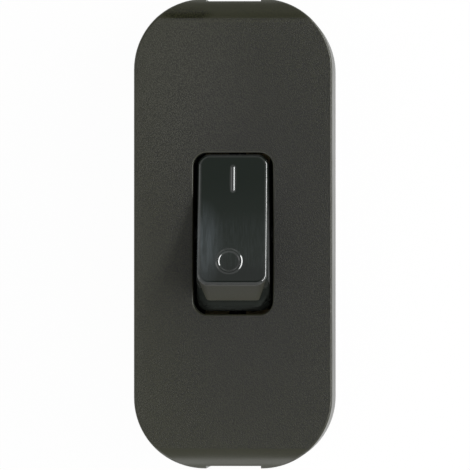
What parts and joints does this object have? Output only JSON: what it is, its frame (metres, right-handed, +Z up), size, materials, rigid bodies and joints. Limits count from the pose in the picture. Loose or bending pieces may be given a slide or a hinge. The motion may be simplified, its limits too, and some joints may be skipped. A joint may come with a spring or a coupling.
{
  "type": "in-line cord switch",
  "caption": "Black in-line cord switch: long two-part moulded housing with rounded ends, a cord entry at each end and a tilting rocker marked I and O in the middle.",
  "frame": {"origin": "on the underside, below the centre of the housing", "axes": "+Z up out of the rocker's face, +Y along the cord towards the I end, +X across to the right"},
  "size_m": [0.0346, 0.082, 0.0314],
  "materials": {
    "housing_plastic": "fine moulded grain",
    "rocker_plastic": "polished",
    "clamp_plastic": "plain moulded",
    "plunger_plastic": "plain moulded",
    "spring_steel": "drawn wire",
    "screw_steel": "zinc plated",
    "terminal_brass": "sawn and tumbled",
    "contact_copper": "rolled strip",
    "contact_silver": "coined"
  },
  "bodies": {
    "housing": {"cover": "housing_plastic", "base": "housing_plastic", "fixed_contact_left": "contact_silver", "line_strip_left": "terminal_brass", "load_strip_left": "terminal_brass", "line_block_left": "terminal_brass", "load_block_left": "terminal_brass", "fixed_contact_right": "contact_silver", "line_strip_right": "terminal_brass", "load_strip_right": "terminal_brass", "line_block_right": "terminal_brass", "load_block_right": "terminal_brass", "earth_block": "terminal_brass", "terminal_screws": "screw_steel", "cord_clamp_front": "clamp_plastic", "cord_clamp_rear": "clamp_plastic", "cord_clamp_screws": "screw_steel", "housing_screws": "screw_steel"},
    "rocker": {"rocker": "rocker_plastic", "spring_left": "spring_steel", "spring_right": "spring_steel"},
    "plunger_left": {"plunger_left": "plunger_plastic"},
    "contact_left": {"seesaw_left": "contact_copper", "moving_contact_left": "contact_silver"},
    "plunger_right": {"plunger_right": "plunger_plastic"},
    "contact_right": {"seesaw_right": "contact_copper", "moving_contact_right": "contact_silver"}
  },
  "joints": [
    {"name": "rocker_tilt", "type": "hinge", "parent": "housing", "child": "rocker", "pos_m": [0, 0, 0.0192], "axis": [1, 0, 0], "range_deg": [0, 30]},
    {"name": "contact_tip_left", "type": "hinge", "parent": "housing", "child": "contact_left", "pos_m": [-0.0036, 0, 0.00779], "axis": [1, 0, 0], "range_deg": [-16, 0]},
    {"name": "plunger_slide_left", "type": "slide", "parent": "rocker", "child": "plunger_left", "axis": [0, 0.2588, 0.9659], "range_m": [0, 0.0008], "stiffness_N_per_m": 400, "springref_m": -0.002, "deforming": ["spring_left"]},
    {"name": "contact_tip_right", "type": "hinge", "parent": "housing", "child": "contact_right", "pos_m": [0.0036, 0, 0.00779], "axis": [1, 0, 0], "range_deg": [-16, 0]},
    {"name": "plunger_slide_right", "type": "slide", "parent": "rocker", "child": "plunger_right", "axis": [0, 0.2588, 0.9659], "range_m": [0, 0.0008], "stiffness_N_per_m": 400, "springref_m": -0.002, "deforming": ["spring_right"]}
  ],
  "couplings": [
    {"joint": "contact_tip_left", "follows": "rocker_tilt", "ratio": -0.53333},
    {"joint": "contact_tip_right", "follows": "rocker_tilt", "ratio": -0.53333}
  ]
}
